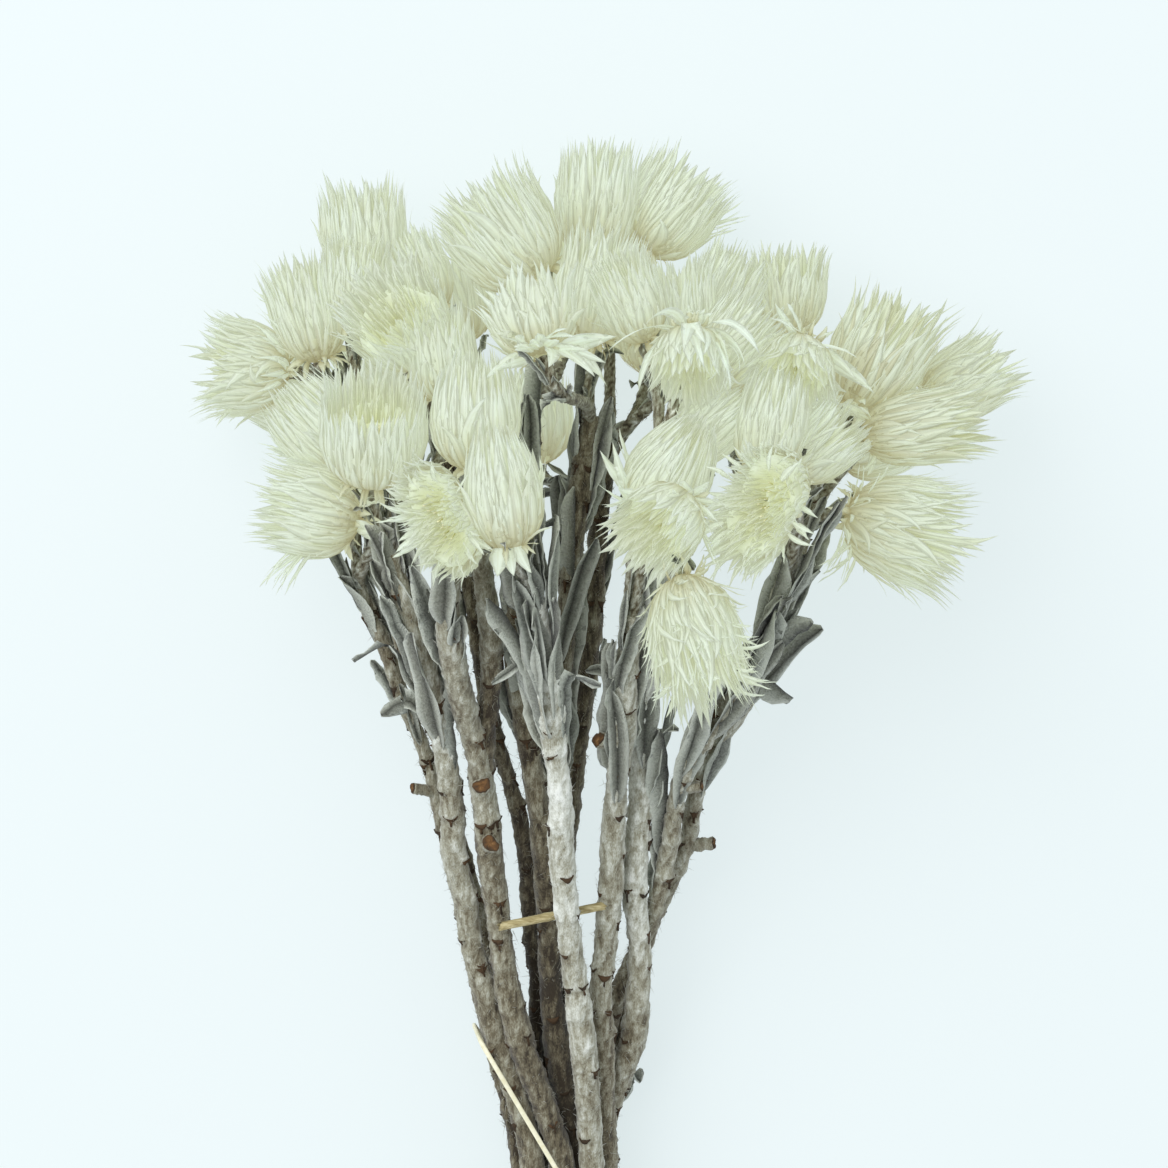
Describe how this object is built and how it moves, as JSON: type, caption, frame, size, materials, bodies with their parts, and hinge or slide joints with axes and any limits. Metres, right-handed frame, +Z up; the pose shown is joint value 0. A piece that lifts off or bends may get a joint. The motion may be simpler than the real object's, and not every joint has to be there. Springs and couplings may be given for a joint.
{
  "type": "bunch of dried everlasting flowers",
  "caption": "Tied bunch of dried white everlasting heads on woolly grey stems, lying on its back, for vases and dried arrangements.",
  "frame": {"origin": "on the surface, under the middle of the bunch's bounding box", "axes": "+Y from the cut stem ends to the flower heads, +Z up off the surface, +X to the right as seen from above"},
  "size_m": [0.2538, 0.3996, 0.1432],
  "materials": {
    "papery_bract": "dry, satin, creamy white papery bracts, warmer towards their bases",
    "woolly_stem": "woody stem in matted grey-white wool with brown leaf scars and grey felted leaves",
    "elastic_band": "pale yellow rubber, satin",
    "dry_straw": "pale straw, dry and matt"
  },
  "bodies": {
    "root": {"stem_01": "woolly_stem", "stem_02": "woolly_stem", "stem_03": "woolly_stem", "stem_04": "woolly_stem", "stem_05": "woolly_stem", "stem_06": "woolly_stem", "stem_07": "woolly_stem", "stem_08": "woolly_stem", "stem_09": "woolly_stem", "stem_10": "woolly_stem", "stem_11": "woolly_stem", "stem_12": "woolly_stem", "stem_13": "woolly_stem", "head_01": "papery_bract", "head_02": "papery_bract", "head_03": "papery_bract", "head_04": "papery_bract", "head_05": "papery_bract", "head_06": "papery_bract", "head_07": "papery_bract", "head_08": "papery_bract", "head_09": "papery_bract", "head_10": "papery_bract", "head_11": "papery_bract", "head_12": "papery_bract", "head_13": "papery_bract", "head_14": "papery_bract", "head_15": "papery_bract", "head_16": "papery_bract", "head_17": "papery_bract", "head_18": "papery_bract", "head_19": "papery_bract", "head_20": "papery_bract", "head_21": "papery_bract", "head_22": "papery_bract", "head_23": "papery_bract", "head_24": "papery_bract", "head_25": "papery_bract", "head_26": "papery_bract", "head_27": "papery_bract", "head_28": "papery_bract", "head_29": "papery_bract", "head_30": "papery_bract", "head_31": "papery_bract", "head_32": "papery_bract", "head_33": "papery_bract", "head_34": "papery_bract", "head_35": "papery_bract", "head_36": "papery_bract", "head_37": "papery_bract", "head_38": "papery_bract", "head_39": "papery_bract", "head_40": "papery_bract", "head_41": "papery_bract", "head_42": "papery_bract", "head_43": "papery_bract", "head_44": "papery_bract", "tie_band": "elastic_band", "loose_straw": "dry_straw"}
  },
  "joints": []
}
